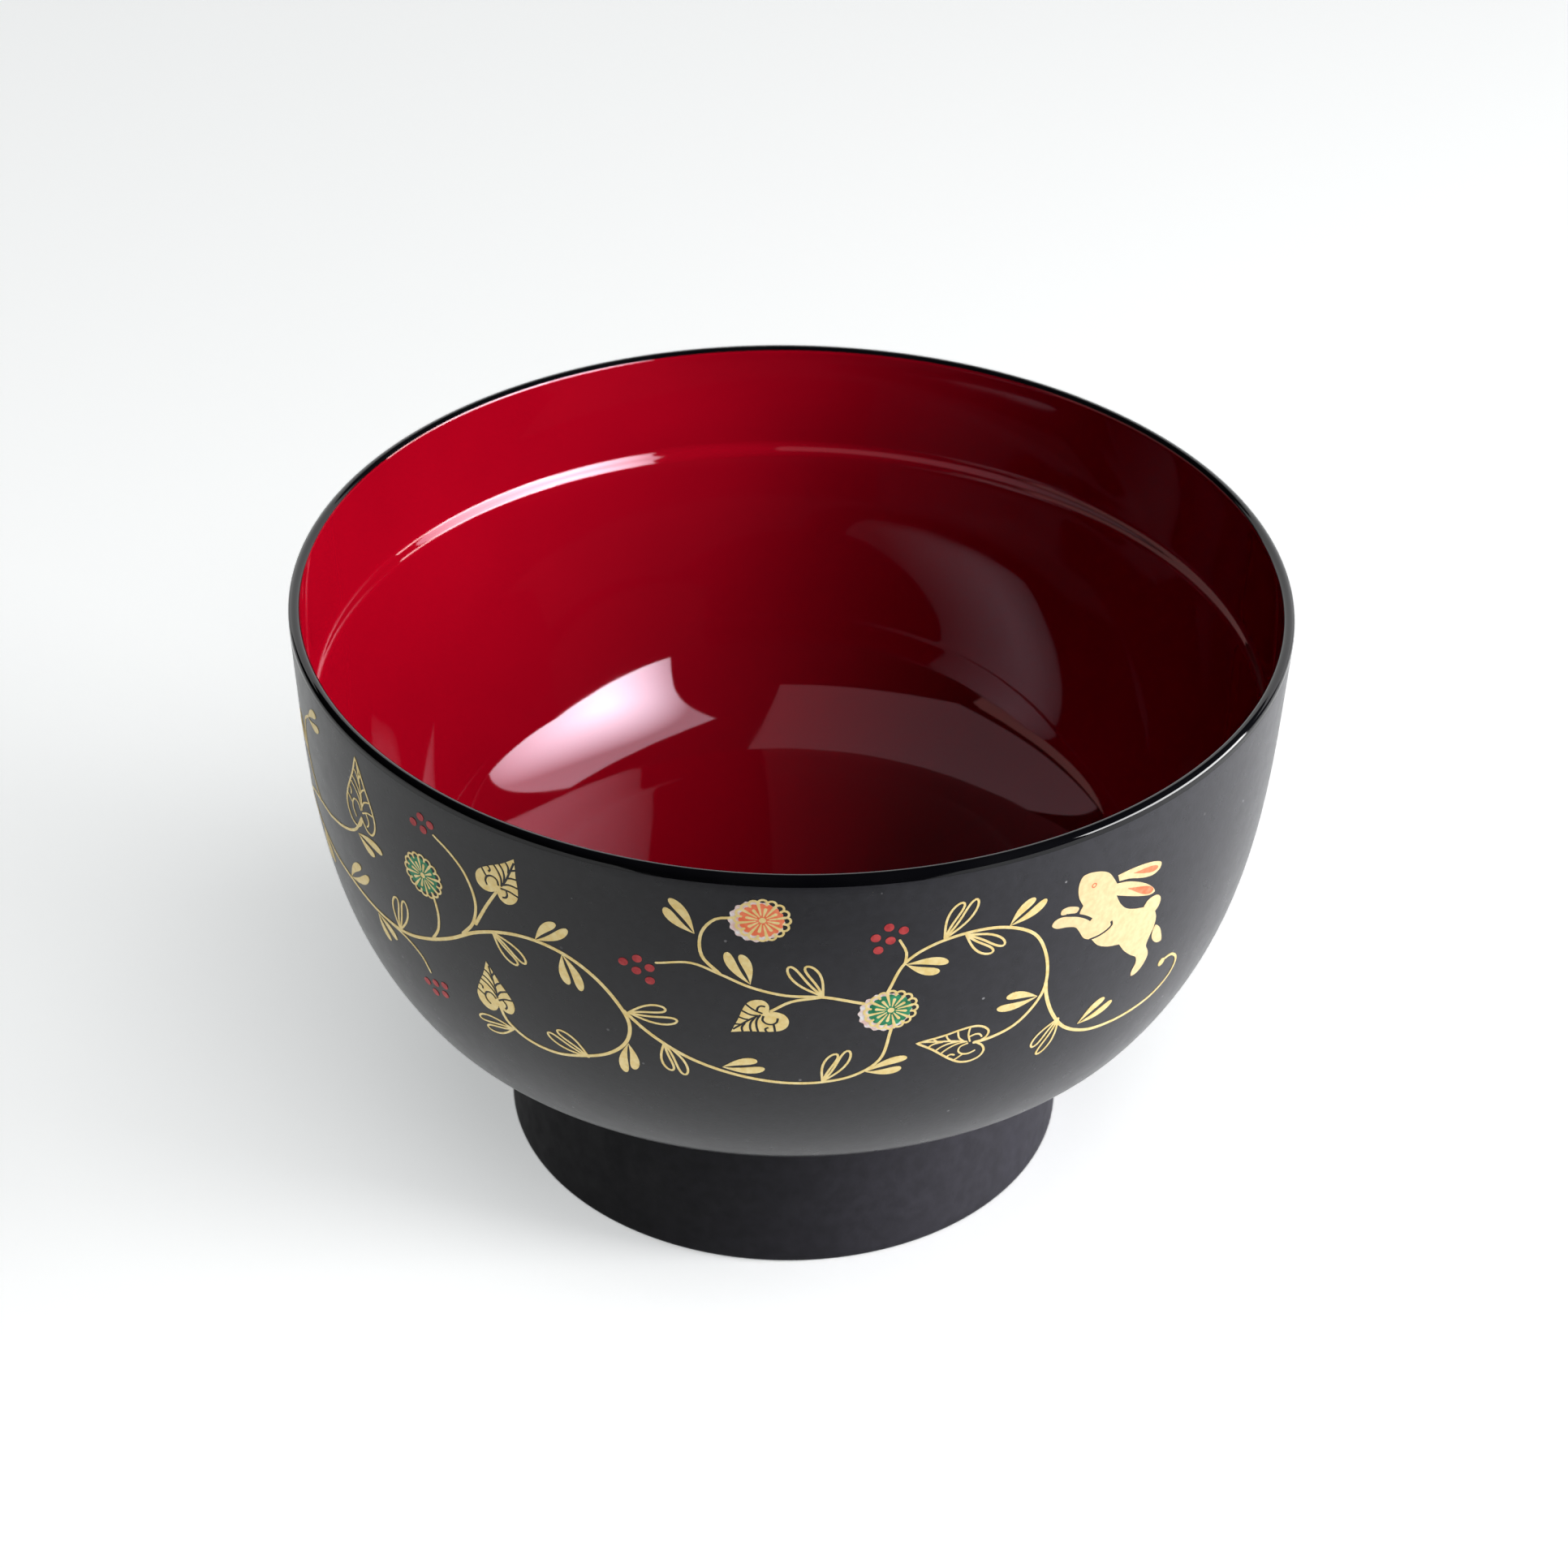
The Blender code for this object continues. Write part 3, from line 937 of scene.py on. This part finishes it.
def uneven_finish(name, tones, gloss, depth, grains, others=None, cover=None):
    """A finish whose colour and roughness each waver between two values, in slight relief.

    The grains are noises as scale and detail, for the tone, the gloss and the relief. The
    first two also have the span that is used. A cover adds something over the colour.
    """
    material, tree, shader = new_material(name)
    tone, sheen, bumps = grains
    colour = mixed_colour(tree, remapped(tree, noise(tree, *tone[:2]), tone[2]), *tones)
    inputs = {
        "Base Color": cover(tree, colour) if cover else colour,
        "Roughness": remapped(tree, noise(tree, *sheen[:2]), sheen[2], gloss),
        "Normal": relief(tree, noise(tree, *bumps), depth),
    }
    set_inputs(tree, shader, {**inputs, **(others or {})})
    return material


def red_gloss():
    """Deep red under a clear, very smooth top coat, with the faint waviness of sprayed paint."""
    tones = ((0.18, 0.0005, 0.0085), (0.21, 0.0010, 0.0105))
    grains = ((26, 3, MOST), (240, 4, MOST), (60, 2))
    return uneven_finish("red_gloss_lacquer_finish", tones, (0.02, 0.05), 0.00003, grains)


def dusted(tree, colour):
    """The colour with a few pale specks of dust on it."""
    specks = new_node(tree, "TexVoronoi", {"Vector": object_place(tree), "Scale": 330}, "Distance")
    dust = remapped(tree, specks, (0.075, 0.045))
    rare = remapped(tree, noise(tree, 150, 1), (0.52, 0.57))
    both = new_node(tree, "Math", {0: dust, 1: rare}, operation="MULTIPLY")
    return mixed_colour(tree, both, colour, (0.14, 0.14, 0.145))


def black_satin():
    """Satin black: a fine even grain that spreads highlights, and a few pale specks of dust."""
    name = "black_satin_lacquer_finish"
    tones = ((0.004, 0.004, 0.007), (0.008, 0.008, 0.012))
    grains = ((900, 5, MIDDLE), (500, 3, MOST), (2600, 2))
    shine = {"Specular IOR Level": 0.62}
    return uneven_finish(name, tones, (0.27, 0.31), 0.000008, grains, shine, dusted)


def black_gloss():
    """The polished lip: black under a clear coat, with fine handling marks in its roughness."""
    tones = ((0.002, 0.002, 0.003), (0.004, 0.004, 0.005))
    grains = ((120, 2, MOST), (700, 4, (0.35, 0.7)), (300, 2))
    return uneven_finish("black_gloss_lacquer_finish", tones, (0.03, 0.08), 0.000006, grains)


def black_matte():
    """The foot: matte black with a slightly coarser grain than the wall."""
    tones = ((0.003, 0.003, 0.005), (0.007, 0.007, 0.010))
    grains = ((700, 5, MIDDLE), (420, 3, MOST), (2200, 3))
    shine = {"Specular IOR Level": 0.32}
    return uneven_finish("black_matte_lacquer_finish", tones, (0.60, 0.70), 0.000012, grains, shine)


def printed_ink(name, first, second, roughness, metallic):
    """Screen-printed ink: slight uneven cover between two tones, and a powdery surface."""
    gloss = (roughness - 0.06, roughness + 0.08)
    grains = ((1400, 4, (0.35, 0.68)), (2500, 2, MOST), (3500, 2))
    return uneven_finish(name, (first, second), gloss, 0.000008, grains, {"Metallic": metallic})


def turned_wood(name, light, dark):
    """Wood with its growth rings across the bowl and fine pores along the grain."""
    material, tree, shader = new_material(name)
    rings = {"Vector": object_place(tree), "Scale": 70, "Distortion": 5, "Detail": 3}
    grain = mixed_colour(tree, new_node(tree, "TexWave", rings, "Fac"), light, dark)
    pores = noise(tree, 500, 5, (0.06, 1, 1))
    darker = tuple(channel * 0.6 for channel in dark)
    pored = mixed_colour(tree, remapped(tree, pores, (0.55, 0.75)), grain, darker)
    inputs = {"Base Color": pored, "Roughness": 0.6, "Normal": relief(tree, pores, 0.00005)}
    set_inputs(tree, shader, inputs)
    return material


# ---- build
def attach(piece, slot, *nodes):
    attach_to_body(piece, "root")
    if nodes:
        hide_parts(*nodes)
    return piece


def build_turned_pieces():
    outer = coat_outline(outside_surface(), 1)
    inner = coat_outline(inside_surface(), -1)
    foot = coat_outline(foot_surface(), 1)
    rim = rim_lacquer_outline()
    wood = turned_wood("bowl_wood_grain", (0.42, 0.27, 0.14), (0.33, 0.19, 0.09))
    foot_wood = turned_wood("foot_wood_grain", (0.38, 0.24, 0.12), (0.28, 0.16, 0.07))
    rows = (
        ("inner_lacquer_coat", inner, SEGMENTS, red_gloss(), "red_gloss_lacquer", "inner_lacquer"),
        ("outer_lacquer_coat", outer, SEGMENTS, black_satin(), "black_satin_lacquer", "outer_lacquer"),
        ("rim_lacquer_band", rim, SEGMENTS, black_gloss(), "black_gloss_lacquer", "rim_lacquer"),
        ("foot_lacquer_coat", foot, SEGMENTS, black_matte(), "black_matte_lacquer", "foot_lacquer"),
        ("bowl_core_wood", bowl_core_outline(), CORE_SEGMENTS, wood, "bowl_wood", "bowl_core"),
        ("foot_ring_wood", foot_ring_outline(), CORE_SEGMENTS, foot_wood, "foot_wood", "foot_ring"),
    )
    pieces = {}
    for name, outline, segments, material, slot, node in rows:
        pieces[name] = attach(turned_piece(name, outline, segments, material), slot, node)
    return pieces


def build_prints():
    """The drawing on the front, and the same drawing half a turn round on the back."""
    gold = printed_ink("gold_ink_finish", (0.84, 0.66, 0.29), (0.92, 0.78, 0.44), 0.4, 0.25)
    pale = printed_ink("pale_gold_ink_finish", (0.80, 0.62, 0.36), (0.87, 0.71, 0.44), 0.45, 0.1)
    pearl = printed_ink("pearl_ink_finish", (0.78, 0.55, 0.50), (0.86, 0.84, 0.84), 0.4, 0.0)
    coral = printed_ink("coral_ink_finish", (0.87, 0.21, 0.09), (0.93, 0.33, 0.18), 0.45, 0.0)
    green = printed_ink("green_ink_finish", (0.01, 0.20, 0.09), (0.05, 0.38, 0.20), 0.42, 0.0)
    berry = printed_ink("berry_ink_finish", (0.45, 0.04, 0.05), (0.58, 0.09, 0.09), 0.45, 0.0)
    rows = (
        ("vine_print", draw_gold(), gold, "gold_ink", PRINT_LIFT),
        ("pearl_petals_print", draw_petals(PEARLY_BLOSSOMS, *PEARL), pearl, "pale_gold_ink", PEARL_LIFT),
        ("coral_petals_print", draw_petals(CORAL_BLOSSOMS, *PETAL), coral, "coral_ink", PETAL_LIFT),
        ("green_petals_print", draw_petals(GREEN_BLOSSOMS, *PETAL), green, "green_ink", PETAL_LIFT),
        ("berries_print", draw_berries(), berry, "berry_ink", PRINT_LIFT),
        ("rabbit_print", draw_rabbit(), pale, "pale_gold_ink", PRINT_LIFT),
        ("rabbit_ears_print", draw_rabbit_details(), coral, "coral_ink", EAR_LIFT),
    )
    prints = []
    for name, ink, material, slot, lift in rows:
        for side, turn in (("front", 0.0), ("back", math.pi)):
            prints.append(attach(ink.piece(f"{name}_{side}", material, lift, turn), slot))
    return prints


# ---- stage, light and camera
FLOOR_GLOW = 0.51
FLOOR_FRONT = -0.142
ROOM_GLOW = 0.02


def build_floor():
    """A pale sheet that ends just in front of the bowl, with a little light of its own."""
    size = 3.0
    points = [(-size, FLOOR_FRONT, 0), (size, FLOOR_FRONT, 0), (size, size, 0), (-size, size, 0)]
    material, tree, shader = new_material("floor_paint")
    paint = {"Base Color": (0.82, 0.82, 0.82), "Roughness": 0.6, "Specular IOR Level": 0.0}
    glow = {"Emission Color": (0.98, 1.0, 1.0), "Emission Strength": FLOOR_GLOW}
    set_inputs(tree, shader, {**paint, **glow})
    floor = new_object("floor", points, [(0, 1, 2, 3)], material)
    return floor


def build_world():
    """White to the camera, so that the floor has no horizon; a dim room to everything else."""
    world = bpy.data.worlds.new("studio")
    bpy.context.scene.world = world
    world.use_nodes = True
    tree = world.node_tree
    tree.nodes.clear()
    white = new_node(tree, "Background", {"Color": (1, 1, 1), "Strength": 1.0})
    room = new_node(tree, "Background", {"Color": (0.9, 0.95, 1.0), "Strength": ROOM_GLOW})
    seen = new_node(tree, "LightPath", {}, "Is Camera Ray")
    surface = new_node(tree, "MixShader", {"Fac": seen, 1: room, 2: white})
    set_inputs(tree, tree.nodes.new("ShaderNodeOutputWorld"), {"Surface": surface})


# The softbox on the right: centre, size, facing, roll in its own plane, and power.
SOFTBOX = ((0.38, -0.065, 0.593), (0.66, 1.25), (91.5, 12.5), -30.8, 26.0)
SOFTBOX_TINT = (0.92, 0.86, 1.0)
# The light that it throws on the prints alone comes from this far behind it.
SOFTBOX_GAP = 0.02
SOFTBOX_PRINT_WATTS = 10.5
# Its bright spot, as shares of its sides, and how far from there its strength falls off.
SOFTBOX_SPOT = (0.47, 0.28)
SOFTBOX_FADE = (0.05, 0.6)
SOFTBOX_STRENGTHS = (2.9, 0.5)
# The other lights that show as reflections, in the same order.
CEILING = ((-0.66, -0.12, 1.2), (1.8, 1.45), (-90.0, 89.0), 0.0, 10.5)
CEILING_TINT = (1.0, 0.62, 0.70)
WINDOW = ((0.8, -0.08, 0.16), (0.7, 0.34), (95.0, 11.0), 0.0, 11.0)
BACKDROP = ((0.3, 1.5, 0.6), (4.0, 1.2), (0.0, 20.0), 0.0, 24.0)
LEFT_WALL = ((-1.2, 0.15, 0.46), (1.9, 0.8), (-80.0, 20.0), 0.0, 7.7)
LEFT_WALL_TINT = (1.0, 0.50, 0.48)
# Lights that bring out colours: azimuth, elevation, distance, size and power.
SIDE_LIGHT = (112.0, 30.0, 0.7, 0.45, 17.0)
FRONT_LIGHT = (200.0, 40.0, 0.8, 0.5, 2.3)
# Each light that only falls on the floor: azimuth, elevation, distance, size and power.
FLOOR_LIGHTS = (
    ("low_window", 100.0, 13.0, 0.65, 0.24, 4.2),
    ("overhead", 165.0, 62.0, 1.6, 1.4, 16.4),
)


def direction(azimuth, elevation):
    """Unit vector from the bowl. Azimuth 0 is behind it, 90 to its right."""
    turn = math.radians(azimuth)
    rise = math.radians(elevation)
    return Vector((math.sin(turn) * math.cos(rise), math.cos(turn) * math.cos(rise), math.sin(rise)))


def standing(place, back, roll):
    """Matrix of a light or camera with its back this way, rolled by this many degrees."""
    side = Vector((0, 0, 1)).cross(back).normalized()
    turn = Matrix((side, back.cross(side), back)).transposed().to_4x4()
    return Matrix.Translation(place) @ turn @ Matrix.Rotation(math.radians(roll), 4, "Z")


def softbox(name, centre, size, facing, roll, power, colour=(1, 1, 1)):
    """A rectangular light whose back points the facing way, turned by roll in its own plane."""
    data = bpy.data.lights.new(name, "AREA")
    data.shape = "RECTANGLE"
    data.size, data.size_y = size
    data.energy = power
    data.color = colour
    lamp = bpy.data.objects.new(name, data)
    lamp.matrix_world = standing(centre, direction(*facing), roll)
    lamp.visible_camera = False
    bpy.context.scene.collection.objects.link(lamp)
    return lamp


def fade_from(lamp, spot, reaches, strengths):
    """Gives the light a bright spot, and strengths that fall off between these reaches from it."""
    lamp.data.use_nodes = True
    tree = lamp.data.node_tree
    emission = next(node for node in tree.nodes if node.type == "EMISSION")
    across = new_node(tree, "NewGeometry", {}, "Parametric")
    from_spot = new_node(tree, "VectorMath", {0: across, 1: (*spot, 0)}, operation="SUBTRACT")
    reach = new_node(tree, "VectorMath", {0: from_spot}, "Value", operation="LENGTH")
    set_inputs(tree, emission, {"Strength": remapped(tree, reach, reaches, strengths)})


def light_group(name, pieces, state):
    """A list of what a light falls on: these pieces alone, or everything except them."""
    group = bpy.data.collections.new(name)
    for piece in pieces:
        group.objects.link(piece)
    for member in group.collection_objects:
        member.light_linking.link_state = state
    return group


def aimed_light(name, azimuth, elevation, distance, size, power):
    """A square light that looks at the bowl from this direction."""
    place = direction(azimuth, elevation) * distance
    return softbox(name, place, (size, size), (azimuth, elevation), 0.0, power)


def build_lights(floor, prints, rim, outside, inner):
    """Lights that only show as reflections, and lights that only bring out colours."""
    on_floor = light_group("on_floor", [floor], "INCLUDE")
    on_prints = light_group("on_prints", prints, "INCLUDE")
    on_edges = light_group("on_edges", [rim, outside], "INCLUDE")
    on_inside = light_group("on_inside", [inner], "INCLUDE")
    on_lacquer = light_group("on_lacquer", [floor, *prints], "EXCLUDE")
    on_walls = light_group("on_walls", [rim, *prints], "EXCLUDE")
    glint = softbox("softbox_glint", *SOFTBOX, SOFTBOX_TINT)
    fade_from(glint, SOFTBOX_SPOT, SOFTBOX_FADE, SOFTBOX_STRENGTHS)
    window = softbox("window_glint", *WINDOW)
    backdrop = softbox("backdrop_glint", *BACKDROP)
    ceiling = softbox("ceiling", *CEILING, CEILING_TINT)
    left_wall = softbox("left_wall_glint", *LEFT_WALL, LEFT_WALL_TINT)
    reflections = [(glint, on_walls), (ceiling, on_walls), (left_wall, on_inside)]
    reflections += [(window, on_lacquer), (backdrop, on_edges)]
    for lamp, receivers in reflections:
        lamp.visible_diffuse = False
        lamp.light_linking.receiver_collection = receivers
    centre, size, facing, roll, _ = SOFTBOX
    behind = Vector(centre) + direction(*facing) * SOFTBOX_GAP
    fill = softbox("softbox_prints", behind, size, facing, roll, SOFTBOX_PRINT_WATTS)
    side = aimed_light("side_light", *SIDE_LIGHT)
    front = aimed_light("front_light", *FRONT_LIGHT)
    fills = [(side, on_lacquer), (front, on_prints), (fill, on_prints)]
    fills += [(aimed_light(*row), on_floor) for row in FLOOR_LIGHTS]
    for lamp, receivers in fills:
        lamp.visible_glossy = False
        lamp.light_linking.receiver_collection = receivers


# The camera's elevation as seen from the bowl, the azimuth and elevation it looks along, its roll.
CAMERA_DISTANCE = 8.845 * RIM_RADIUS
CAMERA_RISE = 38.93
CAMERA_HEADING = (-0.08, -34.72)
CAMERA_ROLL = 0.9
CAMERA_LENS = 93.17
CAMERA_F_STOP = 64


def build_camera():
    data = bpy.data.cameras.new("camera")
    data.lens = CAMERA_LENS
    place = direction(180.0, CAMERA_RISE) * CAMERA_DISTANCE * MM
    camera = bpy.data.objects.new("camera", data)
    camera.matrix_world = standing(place, -direction(*CAMERA_HEADING), CAMERA_ROLL)
    bpy.context.scene.collection.objects.link(camera)
    bpy.context.scene.camera = camera
    front_wall = Vector((0, -RIM_RADIUS, BOWL_HEIGHT * 0.75)) * MM
    data.dof.use_dof = True
    data.dof.focus_distance = (front_wall - place).length
    data.dof.aperture_fstop = CAMERA_F_STOP


VIEW_GAMMA = 0.82


def build():
    turned = build_turned_pieces()
    prints = build_prints()
    names = ("rim_lacquer_band", "outer_lacquer_coat", "inner_lacquer_coat")
    build_lights(build_floor(), prints, *(turned[name] for name in names))
    build_world()
    build_camera()
    view = bpy.context.scene.view_settings
    view.view_transform = "Standard"
    view.gamma = VIEW_GAMMA


build()
